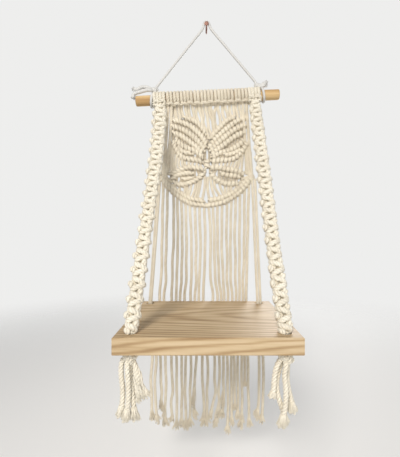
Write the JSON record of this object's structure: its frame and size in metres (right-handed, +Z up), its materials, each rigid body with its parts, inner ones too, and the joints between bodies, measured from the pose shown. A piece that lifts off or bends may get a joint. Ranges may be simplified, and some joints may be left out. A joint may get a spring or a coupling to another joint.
{
  "type": "hanging rope shelf",
  "caption": "Small pine board hung on two knotted ropes from a dowel, behind it a knotted cord panel with a butterfly and a long fringe.",
  "frame": {"origin": "axis of the wall nail, in the vertical plane of the dowel", "axes": "+Z up, +X to the right as seen from the front, the front faces -Y"},
  "size_m": [0.2332, 0.203, 0.6658],
  "materials": {
    "fringe_cord": "matt cotton cord",
    "panel_cord": "matt cotton cord",
    "rope": "matt twisted cotton rope",
    "hanging_cord": "smooth pale cord",
    "dowel_wood": "sanded, unfinished",
    "pine": "sanded pine",
    "nail_steel": "brown, slightly rusty"
  },
  "bodies": {
    "nail": {"wall_nail": "nail_steel"},
    "hanger": {"hanging_cord": "hanging_cord", "hanger_knot_left": "hanging_cord", "hanger_knot_right": "hanging_cord", "dowel": "dowel_wood"},
    "curtain": {"larks_head_row": "panel_cord", "butterfly_panel": "panel_cord", "rope_heads_left": "rope", "rope_heads_right": "rope"},
    "left_band": {"side_band_left": "rope"},
    "right_band": {"side_band_right": "rope"},
    "board": {"shelf_board": "pine", "stopper_knot_front_left": "rope", "stopper_knot_front_right": "rope", "stopper_knot_back_left": "rope", "stopper_knot_back_right": "rope"},
    "left_tassel": {"tassel_left_1": "rope", "tassel_left_2": "rope", "tassel_left_3": "rope", "tassel_left_4": "rope"},
    "right_tassel": {"tassel_right_1": "rope", "tassel_right_2": "rope", "tassel_right_3": "rope", "tassel_right_4": "rope"},
    "left_tails": {"back_tail_left_1": "fringe_cord", "back_tail_left_2": "fringe_cord"},
    "right_tails": {"back_tail_right_1": "fringe_cord", "back_tail_right_2": "fringe_cord"},
    "left_back_cords": {"back_cord_left_1": "fringe_cord", "back_cord_left_2": "fringe_cord"},
    "right_back_cords": {"back_cord_right_1": "fringe_cord", "back_cord_right_2": "fringe_cord"},
    "fringe": {"fringe_cord_01": "fringe_cord", "fringe_cord_02": "fringe_cord", "fringe_cord_03": "fringe_cord", "fringe_cord_04": "fringe_cord", "fringe_cord_05": "fringe_cord", "fringe_cord_06": "fringe_cord", "fringe_cord_07": "fringe_cord", "fringe_cord_08": "fringe_cord", "fringe_cord_09": "fringe_cord", "fringe_cord_10": "fringe_cord", "fringe_cord_11": "fringe_cord", "fringe_cord_12": "fringe_cord", "fringe_cord_13": "fringe_cord", "fringe_cord_14": "fringe_cord", "fringe_cord_15": "fringe_cord", "fringe_cord_16": "fringe_cord", "fringe_cord_17": "fringe_cord", "fringe_cord_18": "fringe_cord", "fringe_cord_19": "fringe_cord", "fringe_cord_20": "fringe_cord"}
  },
  "joints": [
    {"name": "hanger_swing", "type": "hinge", "parent": "nail", "child": "hanger", "pos_m": [0, 0, 0], "axis": [0, 1, 0], "range_deg": [-15, 15]},
    {"name": "shelf_swing", "type": "hinge", "parent": "hanger", "child": "curtain", "pos_m": [0.0015, 0, -0.117], "axis": [-0.9989, 0, -0.0471], "range_deg": [0, 40]},
    {"name": "left_band_sway", "type": "hinge", "parent": "curtain", "child": "left_band", "pos_m": [-0.07442, 0, -0.12058], "axis": [0, 1, 0], "range_deg": [-4, 4]},
    {"name": "board_sway", "type": "hinge", "parent": "left_band", "child": "board", "pos_m": [-0.0855, -0.159, -0.4425], "axis": [0, 1, 0], "range_deg": [-5, 5]},
    {"name": "right_band_sway", "type": "hinge", "parent": "curtain", "child": "right_band", "pos_m": [0.07482, 0, -0.11354], "axis": [0, 1, 0], "range_deg": [-5, 5]},
    {"name": "left_back_cord_sway", "type": "hinge", "parent": "curtain", "child": "left_back_cords", "pos_m": [-0.0743, 0, -0.2495], "axis": [0, 1, 0], "range_deg": [-8, 8]},
    {"name": "right_back_cord_sway", "type": "hinge", "parent": "curtain", "child": "right_back_cords", "pos_m": [0.074, 0, -0.2495], "axis": [0, 1, 0], "range_deg": [-8, 8]},
    {"name": "fringe_swing", "type": "hinge", "parent": "curtain", "child": "fringe", "pos_m": [0.0016, 0, -0.25], "axis": [1, 0, 0], "range_deg": [0, 40]},
    {"name": "left_tassel_swing", "type": "hinge", "parent": "board", "child": "left_tassel", "pos_m": [-0.0855, -0.159, -0.466], "axis": [0, 1, 0], "range_deg": [-25, 25]},
    {"name": "right_tassel_swing", "type": "hinge", "parent": "board", "child": "right_tassel", "pos_m": [0.0855, -0.159, -0.466], "axis": [0, 1, 0], "range_deg": [-25, 25]},
    {"name": "left_tail_swing", "type": "hinge", "parent": "board", "child": "left_tails", "pos_m": [-0.0885, -0.007, -0.465], "axis": [0, 1, 0], "range_deg": [-20, 20]},
    {"name": "right_tail_swing", "type": "hinge", "parent": "board", "child": "right_tails", "pos_m": [0.0825, -0.007, -0.465], "axis": [0, 1, 0], "range_deg": [-20, 20]}
  ],
  "couplings": [
    {"joint": "board_sway", "follows": "left_band_sway", "ratio": -0.889},
    {"joint": "right_band_sway", "follows": "left_band_sway", "ratio": 0.973},
    {"joint": "left_back_cord_sway", "follows": "left_band_sway", "ratio": 1.51},
    {"joint": "right_back_cord_sway", "follows": "left_band_sway", "ratio": 1.51}
  ]
}
